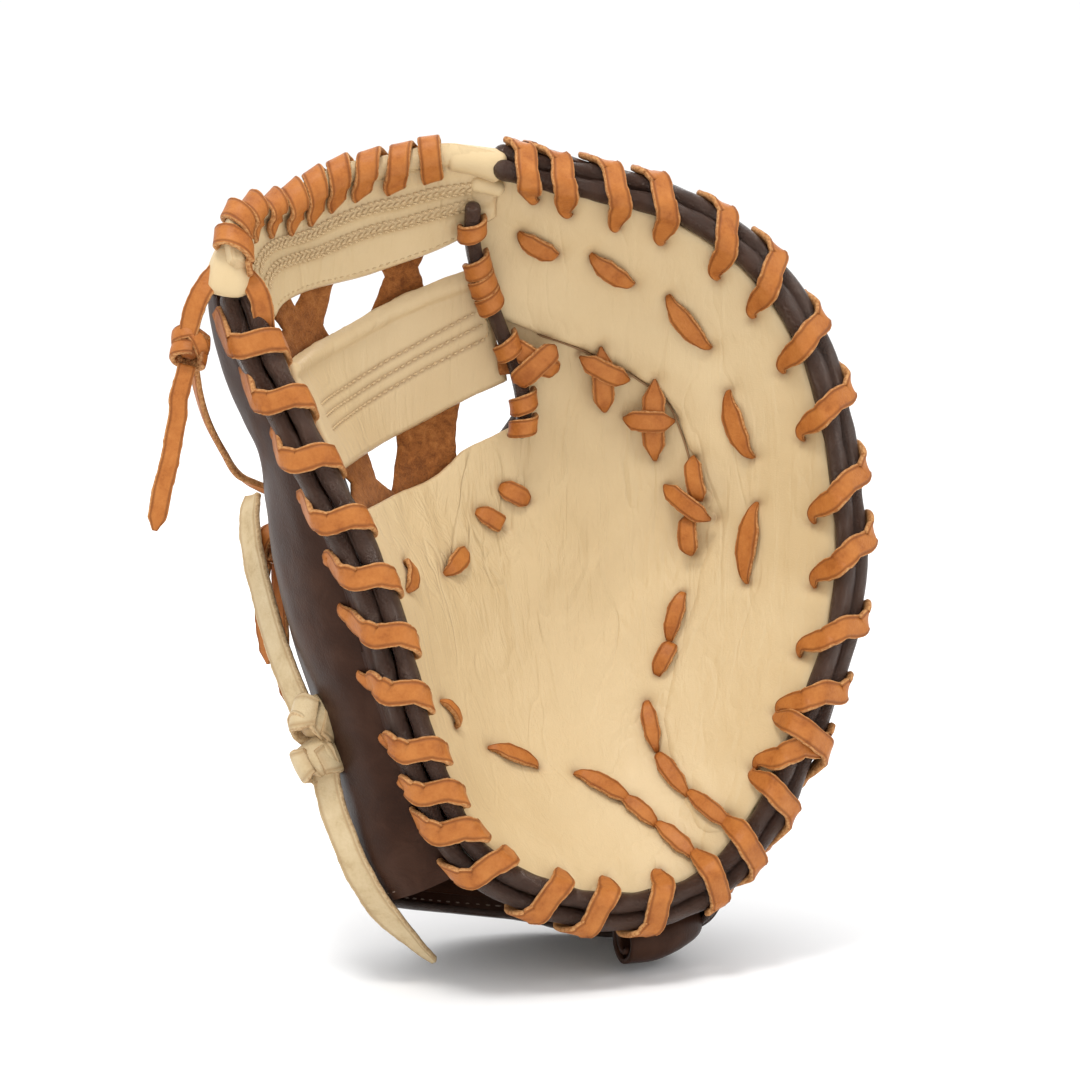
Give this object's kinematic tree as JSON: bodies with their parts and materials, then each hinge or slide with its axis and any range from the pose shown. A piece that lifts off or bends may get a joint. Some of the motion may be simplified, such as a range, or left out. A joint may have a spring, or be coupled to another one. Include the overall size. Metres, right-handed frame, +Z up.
{
  "type": "first base mitt",
  "caption": "Padded leather fielding mitt for one hand: deep laced pocket, rolled rim, double-bar web, standing on its heel with lace tails hanging.",
  "frame": {"origin": "on the surface that the mitt stands on, at the middle of its box without the hanging lace tails", "axes": "+Z up, from the heel that it stands on to the top of the web; +Y away from the viewer, from the pocket to the back of the hand; +X from the thumb side to the finger side"},
  "size_m": [0.2772, 0.1629, 0.3319],
  "materials": {
    "palm_leather": "smooth cream, lightly creased",
    "web_leather": "smooth cream with sewn rows",
    "back_leather": "dark brown, fine grain, low sheen",
    "welt_leather": "dark brown rolled, low sheen",
    "rawhide": "orange tan, oiled, fuzzy cut edges",
    "pale_lace": "pale rawhide",
    "suede": "napped red brown suede",
    "felt": "pressed wool felt",
    "lining": "thin dark lining leather"
  },
  "bodies": {
    "finger_side": {"palm_finger_panel": "palm_leather", "finger_flap_panel": "palm_leather", "finger_back_panel": "back_leather", "finger_pad": "felt", "heel_pad_finger": "felt", "finger_lining": "lining", "fold_bead": "back_leather", "palm_lining_finger": "lining", "little_finger_loop": "rawhide", "finger_welt_inner": "welt_leather", "finger_welt_outer": "welt_leather", "finger_edge_welt": "welt_leather", "finger_rim_lace": "rawhide", "finger_edge_lace": "rawhide", "palm_lace_finger": "rawhide", "flap_lace": "rawhide", "crotch_lace": "rawhide", "web_top_bar_finger": "web_leather", "web_lower_bar_finger": "web_leather", "web_post_finger": "suede", "web_top_lace_finger": "rawhide", "web_end_tab_finger": "web_leather", "web_side_lace_finger": "rawhide", "rolled_tab": "back_leather"},
    "thumb_side": {"palm_thumb_panel": "palm_leather", "thumb_inner_panel": "palm_leather", "thumb_back_panel": "back_leather", "thumb_pad": "felt", "heel_pad_thumb": "felt", "thumb_lining": "lining", "palm_lining_thumb": "lining", "thumb_loop": "rawhide", "thumb_welt_inner": "welt_leather", "thumb_welt_outer": "welt_leather", "thumb_rim_lace": "rawhide", "heel_lace": "rawhide", "palm_lace_thumb": "rawhide", "web_top_bar_thumb": "web_leather", "web_lower_bar_thumb": "web_leather", "web_post_thumb": "suede", "web_top_lace_thumb": "rawhide", "web_end_tab_thumb": "web_leather", "web_side_lace_thumb": "rawhide", "wrist_lace": "pale_lace", "wrist_lace_knot": "pale_lace", "wrist_lace_tail": "pale_lace", "thumb_tip_knot": "rawhide", "thumb_tip_lace": "rawhide", "thumb_tip_tail": "rawhide", "thumb_tip_loop": "rawhide", "back_lace_knot": "rawhide", "back_lace_tail_short": "rawhide", "back_lace_tail_long": "rawhide"}
  },
  "joints": [
    {"name": "pocket_fold", "type": "hinge", "parent": "finger_side", "child": "thumb_side", "pos_m": [-0.03387, 0.01572, 0.14347], "axis": [-0.3231, 0.1311, 0.9372], "range_deg": [0, 20]}
  ]
}
